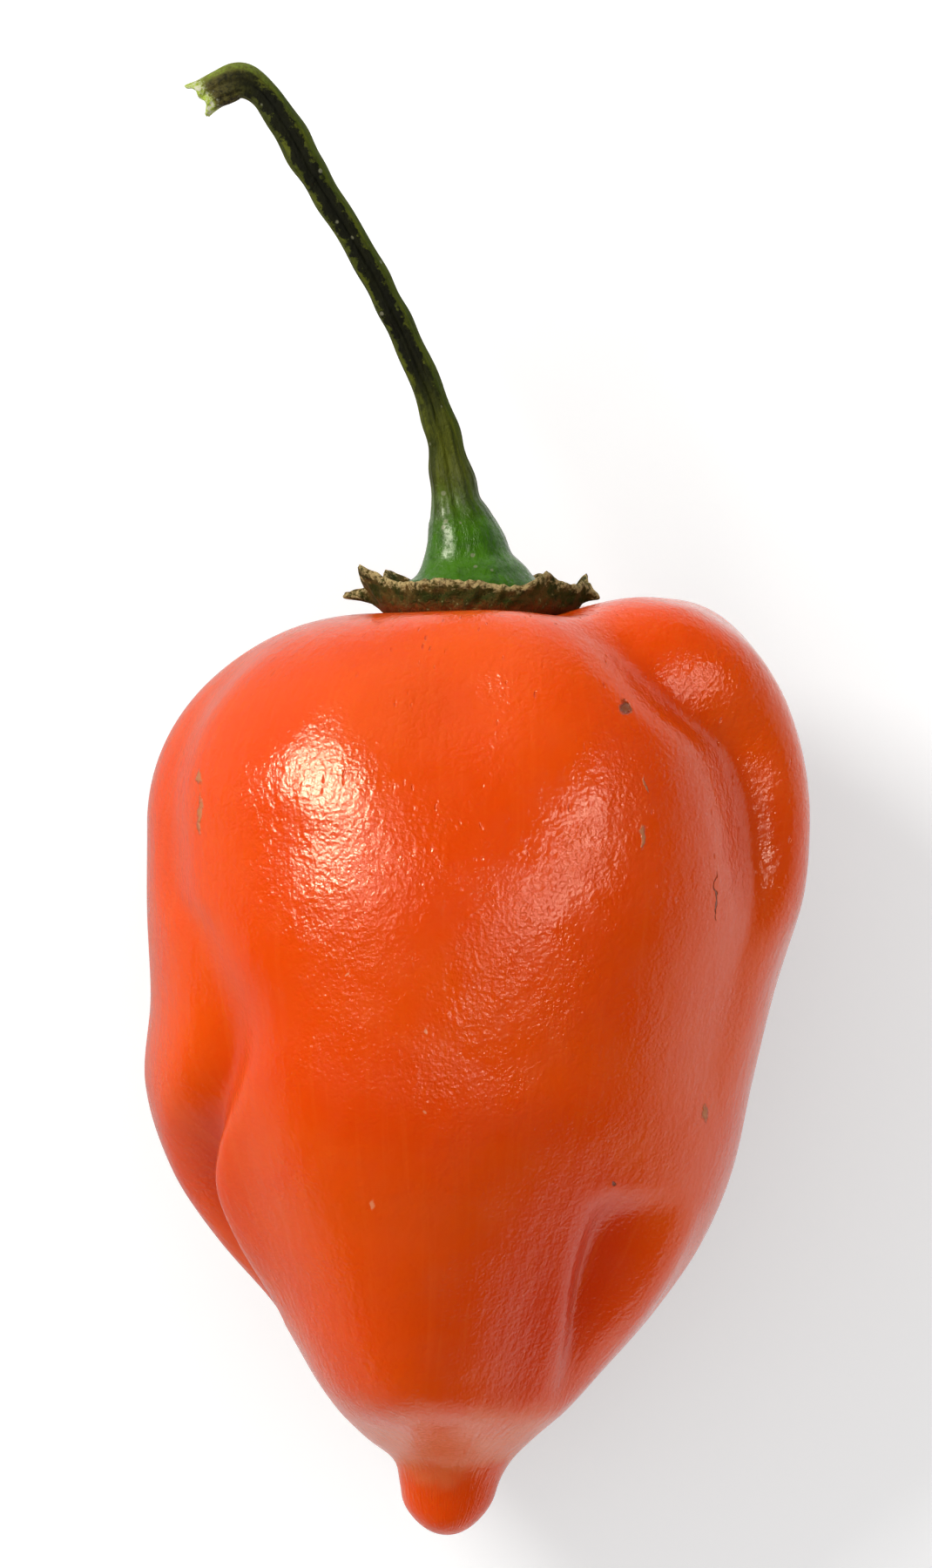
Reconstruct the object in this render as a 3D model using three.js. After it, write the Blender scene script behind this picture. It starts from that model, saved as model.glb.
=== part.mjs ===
// A chilli pepper of the squat, lobed lantern kind, picked and laid on its side: pod, calyx and stem.
// Millimetres and degrees. Each piece is modelled standing in the pod's own frame: +Y runs up the pod
// from its tip to its stem, +X is its right side and +Z its front. The last lines lay it down.

import * as THREE from "three";

// Driving dimensions.
const TIP_ROUND = 2.5; // height of the rounded end of the tip
const SHOULDER_START = 41; // height at which the sides begin to roll over into the shoulder
const SEAT_HEIGHT = 52.6; // the floor of the hollow that the calyx sits in
const SEAT_RADIUS = 3.2;
const CREST_RADIUS = { right: 11.2, front: 8.5, left: 5.6, back: 8.5 };
const CREST_HEIGHT = { right: 53.85, front: 53.2, left: 53.05, back: 53.2 };
const CALYX_GAP = 0.3; // clear height between the pod's seat and the calyx
const CALYX_RADIUS = 6.3;
const CALYX_SHIFT = 0.25; // the calyx sits a little to the right of the pod's axis
const CALYX_WALL = 0.55;
const CALYX_FLARE = 1.6; // how far the rim stands above the calyx's floor
const RIM_REACH_WAVE = 0.15; // how far slow waves push the rim out
const RIM_RISE_WAVE = 0.12; // and up
const STEM_GAP = 0.3; // clear height between the calyx and the stem
const STEM_RIBS = 5;
const RIB_HEIGHT = 0.04; // share of the stem's radius
const MOUTH_RADIUS = 0.6; // share of the stem's radius at its broken end
const MOUTH_DEPTH = 0.4;
const UPRIGHT_SHARE = 0.4; // share of the stem over which its sections turn from level to square
const LIE_PITCH = 1.5; // how far the stem end is lifted, lying on its side
const LIE_ROLL = -0.5;

// How finely each piece is divided.
const POD_STEPS = { around: 116, tip: 4, side: 30, shoulder: 12, hollow: 5 };
const CALYX_AROUND = 72;
const STEM_STEPS = { around: 14, along: 56 };

// Distance from the pod's spine to its skin on each side, from the tip to the shoulder.
const SIDES = [
  // height, right, front, left, back
  [0, 2.3, 2.2, 2.3, 2.3],
  [1.8, 2.6, 2, 2.6, 2.6],
  [3.2, 2.95, 2.4, 2.85, 2.9],
  [4.4, 3.6, 3.3, 3.3, 3.6],
  [5.6, 4.7, 5.7, 4.9, 5],
  [7.2, 6.3, 9, 6.5, 6.9],
  [9, 7.8, 10.4, 8, 8.8],
  [13, 10.8, 11.9, 11, 11.6],
  [17, 13.2, 13, 14.6, 14],
  [21, 14.8, 14.2, 17.3, 15.1],
  [26, 15.9, 15.3, 18.9, 15.4],
  [31, 17.1, 16.3, 18.6, 15.6],
  [36, 18.5, 17, 18.8, 16.1],
  [SHOULDER_START, 18.85, 17, 18.8, 16.8],
];

// The spine bends back and to the left on its way down to the tip.
const SPINE = [
  // height, x, z
  [0, -1.6, -4],
  [4.4, -1.4, -3.9],
  [9, -0.9, -3.2],
  [13, -0.4, -2.3],
  [17, -0.1, -1.4],
  [26, 0, 0],
];

// Creases between the lobes, a dent, and two swellings. Each runs down the skin through its rows:
// height, angle round the pod from its right side, push (out of the skin, or into it if negative), and
// half widths towards lower and towards higher angles.
const CREASES = {
  left_crease: [
    [52.5, 168, 0, 3, 3],
    [49, 166, -0.5, 2.6, 2.6],
    [42, 161, -0.5, 2.6, 2],
    [37, 157, -0.5, 2.4, 1.8],
    [35, 150, -0.6, 2.6, 2],
    [32.5, 145.5, -0.7, 2.4, 2.4],
    [30, 143.5, -0.8, 2.4, 2.4],
    [27.5, 146, -1.1, 2.2, 2.2],
    [25, 152.5, -1.6, 2, 2],
    [22.5, 160, -2.4, 1.8, 2],
    [20, 166, -2.8, 1.6, 1.8],
    [17, 170, -2.5, 1.4, 1.6],
    [14.5, 173, -1.6, 1.3, 1.5],
    [12, 175, 0, 1.2, 1.5],
  ],
  left_flank: [
    [11, 141, 0, 4, 4],
    [16, 143, -0.6, 4, 3.5],
    [21, 144, -1.1, 4.5, 3.5],
    [28, 141, -0.9, 4.5, 3.5],
    [34, 139, 0, 4.5, 3.5],
  ],
  right_crease: [
    [55, 54, -0.5, 2.5, 3.5],
    [52, 50, -1.3, 2, 3.2],
    [48.7, 41, -1.6, 1.8, 4],
    [46, 31, -1.6, 1.5, 4.5],
    [43.5, 27, -1.6, 1.4, 5],
    [39.5, 24.5, -1.5, 1.3, 5],
    [36.5, 25, -1.1, 1.4, 5],
    [32, 28, -0.7, 2, 4.5],
    [27, 29, -0.5, 2.2, 4],
    [22, 27, 0, 2.2, 3],
  ],
  right_lobe: [
    [33, 13, 0, 3, 3],
    [37, 14, 0.6, 3, 2.6],
    [41, 15, 0.9, 3, 2.8],
    [46, 19, 1.1, 3.4, 2.8],
    [50, 27, 1.3, 4, 3],
    [52.5, 33, 0.8, 4, 3.5],
    [54, 36, 0.2, 4, 4],
  ],
  front_valley: [
    [53, 97, 0, 4, 4],
    [50.5, 96, -0.8, 4.2, 4.2],
    [48, 94.5, -1.1, 4.4, 4.4],
    [44, 93, -0.6, 4.8, 4.8],
    [38, 90, 0, 5, 5],
  ],
  pocket: [
    [20.4, 49, 0, 3.2, 1.8],
    [18.6, 47.5, -1.2, 3.3, 1.8],
    [16, 47, -1.6, 3.2, 1.7],
    [13.5, 45, -1.6, 2.8, 1.6],
    [11, 41, -1.2, 2.3, 1.6],
    [8.8, 38, -0.5, 1.9, 1.6],
    [7, 37, 0, 2, 1.8],
  ],
  pocket_rim: [
    [20.5, 28, 0, 2, 3],
    [17.5, 27, 0.5, 2, 3],
    [13, 27, 0.5, 2, 2.6],
    [9, 28, 0, 2, 2],
  ],
  keel: [
    [5.2, 108, 0, 3, 3],
    [7.2, 109, 0.9, 3.2, 3.6],
    [9, 112, 1.3, 3.6, 5.2],
    [13, 117, 1.5, 4.5, 6.6],
    [18, 120, 1.4, 6, 7.6],
    [26, 122, 1, 7, 8],
    [34, 124, 0.7, 8, 8],
    [44, 126, 0.2, 9, 9],
    [50, 127, 0, 9, 9],
  ],
  flank: [
    [5, 64, 0, 4, 4],
    [9, 65, -1.6, 4.5, 4.5],
    [14, 64, -2, 5.5, 5.5],
    [20, 60, -1.2, 6, 6],
    [26, 58, 0, 6, 6],
  ],
  under_crease: [
    [54, 271, 0, 4, 4],
    [48, 271, -2, 5, 5],
    [38, 269, -2.4, 5, 5],
    [24, 267, -2, 5, 5],
    [12, 266, 0, 4, 4],
  ],
};

// The calyx's withered teeth and the dips between them: angle, reach past the rim, rise above it, and
// half width in degrees.
const TEETH = [
  [197, 1.85, -0.45, 7.5],
  [160, 0.95, 0.95, 9],
  [112, 0, 0.35, 14],
  [74, 0, -0.35, 9],
  [50, 0, 0.7, 9],
  [8, 0.45, -0.7, 6],
  [-14, 0.3, 0.65, 7],
  [-58, 0.8, 0.5, 8],
  [-100, 1.1, -0.3, 8],
  [-138, 0.6, 0.7, 8],
];

// The stem's centreline and radius, from the swollen foot to the broken end of the hook.
const STEM = [
  // x, y, z, radius
  [-0.1, 54, 0, 4.05],
  [-0.1, 54.7, 0, 3.8],
  [-0.15, 55.3, 0, 3.3],
  [-0.4, 56.2, 0, 2.62],
  [-0.55, 57.3, 0.1, 2.2],
  [-0.8, 58.5, 0.1, 1.82],
  [-1.15, 59.7, 0.2, 1.42],
  [-1.6, 62.2, 0.4, 1.06],
  [-2.4, 65.1, 0.7, 0.88],
  [-4.1, 69.1, 1.15, 0.8],
  [-6.5, 73.7, 1.6, 0.78],
  [-9.1, 77.9, 1.7, 0.82],
  [-10.2, 79.9, 1.6, 0.95],
  [-11, 81.2, 1.5, 0.86],
  [-12, 82.7, 1.3, 0.84],
  [-13.3, 83.5, 1.1, 1],
  [-14.6, 83.2, 0.9, 1.02],
  [-15.75, 82.45, 0.7, 1.06],
];

const DEGREE = Math.PI / 180;
const mix = (a, b, t) => a + (b - a) * t;
const ease = (t) => t * t * (3 - 2 * t);
const clamp01 = (t) => Math.min(1, Math.max(0, t));
const steps = (n) => Array.from({ length: n }, (_, i) => i / n);

// The values of a table's other columns where its first column is x, on a smooth curve through its rows.
function lookUp(rows, x) {
  const table = [...rows].sort((a, b) => a[0] - b[0]);
  const last = table.length - 1;
  const at = Math.min(table[last][0], Math.max(table[0][0], x));
  const i = Math.min(last - 1, Math.max(0, table.findLastIndex((row) => row[0] <= at)));
  const slope = (k, c) =>
    k === 0 || k === last
      ? 0
      : (table[k + 1][c] - table[k - 1][c]) / (table[k + 1][0] - table[k - 1][0]);
  const [a, b] = [table[i], table[i + 1]];
  const width = b[0] - a[0];
  const t = (at - a[0]) / width;
  return a.slice(1).map((value, column) => {
    const c = column + 1;
    return (
      (2 * t ** 3 - 3 * t ** 2 + 1) * value +
      (t ** 3 - 2 * t ** 2 + t) * width * slope(i, c) +
      (3 * t ** 2 - 2 * t ** 3) * b[c] +
      (t ** 3 - t ** 2) * width * slope(i + 1, c)
    );
  });
}

// A value that is given on four sides, at any angle between them.
function around(angle, right, front, left, back) {
  return (
    (right + front + left + back) / 4 +
    ((right - left) / 2) * Math.cos(angle) +
    ((front - back) / 2) * Math.sin(angle) +
    ((right + left - front - back) / 4) * Math.cos(2 * angle)
  );
}

const aroundSides = (angle, s) => around(angle, s.right, s.front, s.left, s.back);

// How far the creases push the skin at an angle, a height and a distance from the spine.
function creasePush(angle, height, radius) {
  let push = 0;
  for (const rows of Object.values(CREASES)) {
    const [middle, depth, lowerWidth, higherWidth] = lookUp(rows, height);
    const turn = Math.atan2(Math.sin(angle - middle * DEGREE), Math.cos(angle - middle * DEGREE));
    const off = (turn * Math.max(radius, 1)) / (turn < 0 ? lowerWidth : higherWidth);
    push += depth * Math.exp(-off * off);
  }
  return push;
}

// One point of the skin from its place on the meridian. slope is 0 where the skin stands up and 1 where
// it lies flat, and turns the creases' push from inwards to downwards. hold fades it out at the seat.
function skinPoint(angle, radius, height, slope, hold) {
  const push = creasePush(angle, height, radius) * hold;
  const r = Math.max(0, radius + push * Math.sqrt(1 - slope * slope));
  const y = height + push * slope;
  const [x, z] = lookUp(SPINE, height);
  return new THREE.Vector3(x + r * Math.cos(angle), y, z + r * Math.sin(angle));
}

// The pod: a rounded tip, sides that follow the table, a shoulder that rolls over to a crest as a quarter
// ellipse, and a hollow that eases down to the seat.
function podRings() {
  const rings = [];
  const ring = (place) =>
    rings.push(steps(POD_STEPS.around).map((s) => skinPoint(s * 2 * Math.PI, ...place(s * 2 * Math.PI))));
  for (const s of steps(POD_STEPS.tip)) {
    const height = TIP_ROUND * (1 - Math.cos((s * Math.PI) / 2));
    const round = Math.sin((s * Math.PI) / 2);
    ring((a) => [around(a, ...lookUp(SIDES, height)) * round, height, 0, 1]);
  }
  for (const s of steps(POD_STEPS.side)) {
    const height = mix(TIP_ROUND, SHOULDER_START, s);
    ring((a) => [around(a, ...lookUp(SIDES, height)), height, 0, 1]);
  }
  for (const s of steps(POD_STEPS.shoulder)) {
    const [up, out] = [Math.sin((s * Math.PI) / 2), Math.cos((s * Math.PI) / 2)];
    ring((a) => [
      mix(aroundSides(a, CREST_RADIUS), around(a, ...lookUp(SIDES, SHOULDER_START)), out),
      mix(SHOULDER_START, aroundSides(a, CREST_HEIGHT), up),
      up,
      1,
    ]);
  }
  for (const s of [...steps(POD_STEPS.hollow), 1]) {
    ring((a) => {
      const crest = aroundSides(a, CREST_RADIUS);
      const radius = crest * (1 - s);
      const rise = ease(clamp01((radius - SEAT_RADIUS) / (crest - SEAT_RADIUS)));
      return [radius, mix(SEAT_HEIGHT, aroundSides(a, CREST_HEIGHT), rise), 1, rise];
    });
  }
  return rings;
}

// The calyx: a shallow dish with a flat floor, a flared wall and a rim that waves and runs out in teeth.
function calyxRings() {
  const floor = SEAT_HEIGHT + CALYX_GAP;
  // share of the radius, share of the flare, share of the teeth, and whether it is the upper face
  const profile = [
    [0, 0, 0, 0],
    [0.4, 0, 0, 0],
    [0.72, 0.05, 0, 0],
    [0.86, 0.35, 0.1, 0],
    [0.95, 0.7, 0.5, 0],
    [1, 0.95, 1, 0],
    [0.97, 1, 0.95, 1],
    [0.88, 0.7, 0.45, 1],
    [0.8, 0.35, 0.1, 1],
    [0.68, 0.1, 0, 1],
    [0.4, 0, 0, 1],
    [0, 0, 0, 1],
  ];
  return profile.map(([out, up, tooth, upper]) =>
    steps(CALYX_AROUND).map((s) => {
      const angle = s * 2 * Math.PI;
      let reach = RIM_REACH_WAVE * Math.sin(7 * angle);
      let rise = RIM_RISE_WAVE * Math.sin(5 * angle + 1);
      for (const [middle, toothReach, toothRise, toothWidth] of TEETH) {
        const turn = Math.atan2(Math.sin(angle - middle * DEGREE), Math.cos(angle - middle * DEGREE));
        const off = turn / (toothWidth * DEGREE);
        const share = Math.exp(-off * off);
        reach += toothReach * share;
        rise += toothRise * share;
      }
      const r = CALYX_RADIUS * out + reach * tooth;
      const y = floor + CALYX_FLARE * up + rise * tooth + upper * CALYX_WALL;
      return new THREE.Vector3(CALYX_SHIFT + r * Math.cos(angle), y, r * Math.sin(angle));
    }),
  );
}

// The stem: round sections carried along its curve, with shallow ribs, closed flat at its foot and hollow
// at its broken end.
function stemRings() {
  const path = new THREE.CatmullRomCurve3(STEM.map(([x, y, z]) => new THREE.Vector3(x, y, z)));
  const radii = new THREE.CatmullRomCurve3(STEM.map(([, , , r]) => new THREE.Vector3(r, 0, 0)));
  const foot = SEAT_HEIGHT + CALYX_GAP + CALYX_WALL + STEM_GAP;
  const up = new THREE.Vector3(0, 1, 0);
  const section = (t, share, shift) => {
    const centre = path.getPoint(t);
    const along = path.getTangent(t).lerp(up, clamp01(1 - t / UPRIGHT_SHARE)).normalize();
    const side = new THREE.Vector3().crossVectors(along, new THREE.Vector3(0, 0, 1)).normalize();
    const front = new THREE.Vector3().crossVectors(side, along);
    const base = radii.getPoint(t).x * share;
    const rib = RIB_HEIGHT * clamp01(t * 8);
    return steps(STEM_STEPS.around).map((s) => {
      const angle = s * 2 * Math.PI;
      const r = base * (1 + rib * Math.cos(STEM_RIBS * angle));
      return centre
        .clone()
        .addScaledVector(side, r * Math.cos(angle))
        .addScaledVector(front, r * Math.sin(angle))
        .addScaledVector(along, shift);
    });
  };
  const onFoot = (ring) => ring.map((p) => p.clone().setY(foot));
  const rings = [onFoot(section(0, 0, 0)), onFoot(section(0, 0.96, 0))];
  for (const s of [...steps(STEM_STEPS.along), 1]) rings.push(section(s, 1, 0));
  rings.push(section(1, MOUTH_RADIUS, -0.6 * MOUTH_DEPTH), section(1, 0, -MOUTH_DEPTH));
  return rings;
}

// A closed surface through a stack of rings whose first and last rings are points.
function closedGeometry(rings) {
  const points = [rings[0][0], ...rings.slice(1, -1).flat(), rings.at(-1)[0]];
  const n = rings[1].length;
  const rows = rings.length - 2;
  const at = (row, k) => 1 + row * n + (k % n);
  const end = points.length - 1;
  const faces = [];
  for (let k = 0; k < n; k++) {
    faces.push(0, at(0, k), at(0, k + 1), end, at(rows - 1, k + 1), at(rows - 1, k));
    for (let row = 0; row < rows - 1; row++) {
      faces.push(at(row, k), at(row + 1, k), at(row + 1, k + 1));
      faces.push(at(row, k), at(row + 1, k + 1), at(row, k + 1));
    }
  }
  const geometry = new THREE.BufferGeometry().setFromPoints(points);
  geometry.setIndex(faces);
  geometry.computeVertexNormals();
  return geometry;
}

function piece(name, rings, color, roughness) {
  const material = new THREE.MeshStandardMaterial({ color, roughness, metalness: 0 });
  const mesh = new THREE.Mesh(closedGeometry(rings), material);
  mesh.name = name;
  return mesh;
}

const pepper = new THREE.Group();
pepper.add(piece("pod", podRings(), 0xe8501f, 0.3));
pepper.add(piece("calyx", calyxRings(), 0x5a4d22, 0.85));
pepper.add(piece("stem", stemRings(), 0x38521c, 0.5));

// Laid on its side with its front up, its lowest point on the ground and its middle over the origin.
pepper.rotation.set(LIE_PITCH * DEGREE, LIE_ROLL * DEGREE, 0);
const lying = new THREE.Group();
lying.add(pepper);
lying.updateMatrixWorld(true);
const box = new THREE.Box3().setFromObject(lying, true);
const middle = box.getCenter(new THREE.Vector3());
lying.position.set(-middle.x, -middle.y, -box.min.z);

export default lying;
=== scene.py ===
"""A squat, lobed chilli pepper lying on its side: glossy pod, dry calyx and hooked green stem.

Every piece is a surface worked out with numpy in the pod's own frame, in millimetres: +Y runs up the
pod from its tip to its stem, +X is its right side and +Z its front. laid_down() turns that frame onto
the ground and gives metres.
"""

import math

import bpy
import numpy as np
from bpy.props import FloatProperty, FloatVectorProperty, IntProperty, PointerProperty
from mathutils import Matrix, Vector


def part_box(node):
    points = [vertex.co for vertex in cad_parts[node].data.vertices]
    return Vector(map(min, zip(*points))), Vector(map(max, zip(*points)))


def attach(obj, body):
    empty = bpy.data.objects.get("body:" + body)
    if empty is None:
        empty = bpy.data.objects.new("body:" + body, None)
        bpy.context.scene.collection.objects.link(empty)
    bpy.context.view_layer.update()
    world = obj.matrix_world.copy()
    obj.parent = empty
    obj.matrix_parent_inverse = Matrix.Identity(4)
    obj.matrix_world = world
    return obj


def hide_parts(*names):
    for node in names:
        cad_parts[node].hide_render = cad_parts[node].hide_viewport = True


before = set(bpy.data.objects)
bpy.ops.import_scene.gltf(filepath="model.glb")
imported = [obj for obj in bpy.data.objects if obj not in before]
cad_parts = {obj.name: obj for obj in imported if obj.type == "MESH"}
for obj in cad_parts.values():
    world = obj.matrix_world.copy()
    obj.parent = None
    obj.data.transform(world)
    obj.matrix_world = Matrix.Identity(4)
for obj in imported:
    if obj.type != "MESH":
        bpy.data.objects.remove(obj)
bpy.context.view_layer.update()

bl_info = {
    "name": "Chilli Pepper",
    "version": (1, 0, 0),
    "blender": (4, 5, 0),
    "location": "3D View > Sidebar > Chilli",
    "description": "Builds a lobed chilli pepper lying on its side, with its calyx, stem and studio",
    "category": "Add Mesh",
}

MM = 0.001

# ---------------------------------------------------------------- the pod's measurements, in millimetres

TIP_ROUND = 2.5
SHOULDER_START = 41.0
SEAT_HEIGHT = 52.6
SEAT_RADIUS = 3.2
CREST_RADIUS = (11.2, 8.5, 5.6, 8.5)  # right, front, left, back
CREST_HEIGHT = (53.85, 53.2, 53.05, 53.2)
LIE_PITCH = 1.5  # degrees that the stem end is lifted
LIE_ROLL = -0.5
WRAP_RADIUS = 16.0  # the cylinder that skin patterns are wrapped on

# Distance from the pod's spine to its skin on each side.
SIDES = [
    # height, right, front, left, back
    (0, 2.3, 2.2, 2.3, 2.3),
    (1.8, 2.6, 2, 2.6, 2.6),
    (3.2, 2.95, 2.4, 2.85, 2.9),
    (4.4, 3.6, 3.3, 3.3, 3.6),
    (5.6, 4.7, 5.7, 4.9, 5),
    (7.2, 6.3, 9, 6.5, 6.9),
    (9, 7.8, 10.4, 8, 8.8),
    (13, 10.8, 11.9, 11, 11.6),
    (17, 13.2, 13, 14.6, 14),
    (21, 14.8, 14.2, 17.3, 15.1),
    (26, 15.9, 15.3, 18.9, 15.4),
    (31, 17.1, 16.3, 18.6, 15.6),
    (36, 18.5, 17, 18.8, 16.1),
    (SHOULDER_START, 18.85, 17, 18.8, 16.8),
]

# The spine bends back and to the left on its way down to the tip.
SPINE = [
    # height, x, z
    (0, -1.6, -4),
    (4.4, -1.4, -3.9),
    (9, -0.9, -3.2),
    (13, -0.4, -2.3),
    (17, -0.1, -1.4),
    (26, 0, 0),
]

# Creases and dents pushed into the skin, and swellings pushed out of it. Each runs down the skin
# through its rows: height, angle round the pod from its right side, push (negative is inwards), and
# half widths towards lower and towards higher angles.
CREASES = {
    "left_crease": [
        (52.5, 168, 0, 3, 3),
        (49, 166, -0.5, 2.6, 2.6),
        (42, 161, -0.5, 2.6, 2),
        (37, 157, -0.5, 2.4, 1.8),
        (35, 150, -0.6, 2.6, 2),
        (32.5, 145.5, -0.7, 2.4, 2.4),
        (30, 143.5, -0.8, 2.4, 2.4),
        (27.5, 146, -1.1, 2.2, 2.2),
        (25, 152.5, -1.6, 2, 2),
        (22.5, 160, -2.4, 1.8, 2),
        (20, 166, -2.8, 1.6, 1.8),
        (17, 170, -2.5, 1.4, 1.6),
        (14.5, 173, -1.6, 1.3, 1.5),
        (12, 175, 0, 1.2, 1.5),
    ],
    "left_flank": [
        (11, 141, 0, 4, 4),
        (16, 143, -0.6, 4, 3.5),
        (21, 144, -1.1, 4.5, 3.5),
        (28, 141, -0.9, 4.5, 3.5),
        (34, 139, 0, 4.5, 3.5),
    ],
    "right_crease": [
        (55, 54, -0.5, 2.5, 3.5),
        (52, 50, -1.3, 2, 3.2),
        (48.7, 41, -1.6, 1.8, 4),
        (46, 31, -1.6, 1.5, 4.5),
        (43.5, 27, -1.6, 1.4, 5),
        (39.5, 24.5, -1.5, 1.3, 5),
        (36.5, 25, -1.1, 1.4, 5),
        (32, 28, -0.7, 2, 4.5),
        (27, 29, -0.5, 2.2, 4),
        (22, 27, 0, 2.2, 3),
    ],
    "right_lobe": [
        (33, 13, 0, 3, 3),
        (37, 14, 0.6, 3, 2.6),
        (41, 15, 0.9, 3, 2.8),
        (46, 19, 1.1, 3.4, 2.8),
        (50, 27, 1.3, 4, 3),
        (52.5, 33, 0.8, 4, 3.5),
        (54, 36, 0.2, 4, 4),
    ],
    "front_valley": [
        (53, 97, 0, 4, 4),
        (50.5, 96, -0.8, 4.2, 4.2),
        (48, 94.5, -1.1, 4.4, 4.4),
        (44, 93, -0.6, 4.8, 4.8),
        (38, 90, 0, 5, 5),
    ],
    "pocket": [
        (20.4, 49, 0, 3.2, 1.8),
        (18.6, 47.5, -1.2, 3.3, 1.8),
        (16, 47, -1.6, 3.2, 1.7),
        (13.5, 45, -1.6, 2.8, 1.6),
        (11, 41, -1.2, 2.3, 1.6),
        (8.8, 38, -0.5, 1.9, 1.6),
        (7, 37, 0, 2, 1.8),
    ],
    "pocket_rim": [
        (20.5, 28, 0, 2, 3),
        (17.5, 27, 0.5, 2, 3),
        (13, 27, 0.5, 2, 2.6),
        (9, 28, 0, 2, 2),
    ],
    "keel": [
        (5.2, 108, 0, 3, 3),
        (7.2, 109, 0.9, 3.2, 3.6),
        (9, 112, 1.3, 3.6, 5.2),
        (13, 117, 1.5, 4.5, 6.6),
        (18, 120, 1.4, 6, 7.6),
        (26, 122, 1, 7, 8),
        (34, 124, 0.7, 8, 8),
        (44, 126, 0.2, 9, 9),
        (50, 127, 0, 9, 9),
    ],
    "flank": [
        (5, 64, 0, 4, 4),
        (9, 65, -1.6, 4.5, 4.5),
        (14, 64, -2, 5.5, 5.5),
        (20, 60, -1.2, 6, 6),
        (26, 58, 0, 6, 6),
    ],
    "under_crease": [
        (54, 271, 0, 4, 4),
        (48, 271, -2, 5, 5),
        (38, 269, -2.4, 5, 5),
        (24, 267, -2, 5, 5),
        (12, 266, 0, 4, 4),
    ],
}

# ---------------------------------------------------------------- calyx and stem, in millimetres

CALYX_FLOOR = 52.88
CALYX_SHIFT = 0.25

# The withered teeth and the dips between them.
TEETH = [
    # angle, reach past the rim, rise above it, half width in degrees
    (197, 1.85, -0.45, 7.5),
    (160, 0.95, 0.95, 9),
    (112, 0, 0.35, 14),
    (74, 0, -0.35, 9),
    (50, 0, 0.7, 9),
    (8, 0.45, -0.7, 6),
    (-14, 0.3, 0.65, 7),
    (-58, 0.8, 0.5, 8),
    (-100, 1.1, -0.3, 8),
    (-138, 0.6, 0.7, 8),
]

# The calyx's section from the middle of its underside, round the rim, to the middle of its floor:
# share of the radius, height above the floor as a share of the flare, share of the teeth,
# and share of the wall's thickness.
CALYX_SECTION = [
    (0, 0, 0, 0),
    (0.45, 0, 0, 0),
    (0.8, 0.02, 0, 0),
    (0.88, 0.14, 0.05, 0),
    (0.92, 0.4, 0.2, 0),
    (0.96, 0.72, 0.55, 0),
    (1, 0.96, 1, 0),
    (1, 1, 1, 0.5),
    (0.98, 0.97, 0.97, 1),
    (0.93, 0.72, 0.55, 1),
    (0.88, 0.4, 0.2, 1),
    (0.82, 0.16, 0.05, 1),
    (0.7, 0.03, 0, 1),
    (0.4, 0, 0, 1),
    (0, 0, 0, 1),
]

# The stem's centreline and radius, from the swollen foot to the broken end of the hook.
STEM = [
    # x, y, z, radius
    (-0.1, 53.6, 0, 4.15),
    (-0.1, 54.7, 0, 3.8),
    (-0.15, 55.3, 0, 3.3),
    (-0.4, 56.2, 0, 2.62),
    (-0.55, 57.3, 0.1, 2.2),
    (-0.8, 58.5, 0.1, 1.82),
    (-1.15, 59.7, 0.2, 1.42),
    (-1.6, 62.2, 0.4, 1.06),
    (-2.4, 65.1, 0.7, 0.88),
    (-4.1, 69.1, 1.15, 0.8),
    (-6.5, 73.7, 1.6, 0.78),
    (-9.1, 77.9, 1.7, 0.82),
    (-10.2, 79.9, 1.6, 0.95),
    (-11, 81.2, 1.5, 0.86),
    (-12, 82.7, 1.3, 0.84),
    (-13.3, 83.5, 1.1, 1),
    (-14.6, 83.2, 0.9, 1.02),
    (-15.75, 82.45, 0.7, 1.06),
]


# ---------------------------------------------------------------- numpy helpers


def look_up(rows, at):
    """A table's other columns where its first column is at: a cubic through each pair of rows, whose
    slope at a row is the slope between that row's two neighbours, and level at both ends."""
    table = np.asarray(rows, float)
    table = table[np.argsort(table[:, 0])]
    key, value = table[:, 0], table[:, 1:]
    slope = np.zeros_like(value)
    slope[1:-1] = (value[2:] - value[:-2]) / (key[2:] - key[:-2])[:, None]
    at = np.clip(at, key[0], key[-1])
    i = np.clip(np.searchsorted(key, at, side="right") - 1, 0, len(key) - 2)
    width = (key[i + 1] - key[i])[..., None]
    t = (at - key[i])[..., None] / width
    found = (
        (2 * t**3 - 3 * t**2 + 1) * value[i]
        + (t**3 - 2 * t**2 + t) * width * slope[i]
        + (3 * t**2 - 2 * t**3) * value[i + 1]
        + (t**3 - t**2) * width * slope[i + 1]
    )
    return np.moveaxis(found, -1, 0)


def through(points, count):
    """count points on the uniform Catmull-Rom curve through the given ones, its ends mirrored."""
    p = np.asarray(points, float)
    p = np.vstack([2 * p[0] - p[1], p, 2 * p[-1] - p[-2]])
    u = np.linspace(0, len(p) - 3, count)
    i = np.minimum(u.astype(int), len(p) - 4)
    t = (u - i)[:, None]
    a, b, c, d = p[i], p[i + 1], p[i + 2], p[i + 3]
    square = (2 * a - 5 * b + 4 * c - d) * t**2
    cube = (3 * b - a - 3 * c + d) * t**3
    return 0.5 * (2 * b + (c - a) * t + square + cube)


def around(angle, right, front, left, back):
    """The four sides' values blended round the pod: their mean, plus half of right less left times the
    cosine, half of front less back times the sine, and a quarter of the rest times the cosine of twice
    the angle."""
    return (
        (right + front + left + back) / 4
        + (right - left) / 2 * np.cos(angle)
        + (front - back) / 2 * np.sin(angle)
        + (right + left - front - back) / 4 * np.cos(2 * angle)
    )


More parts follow.
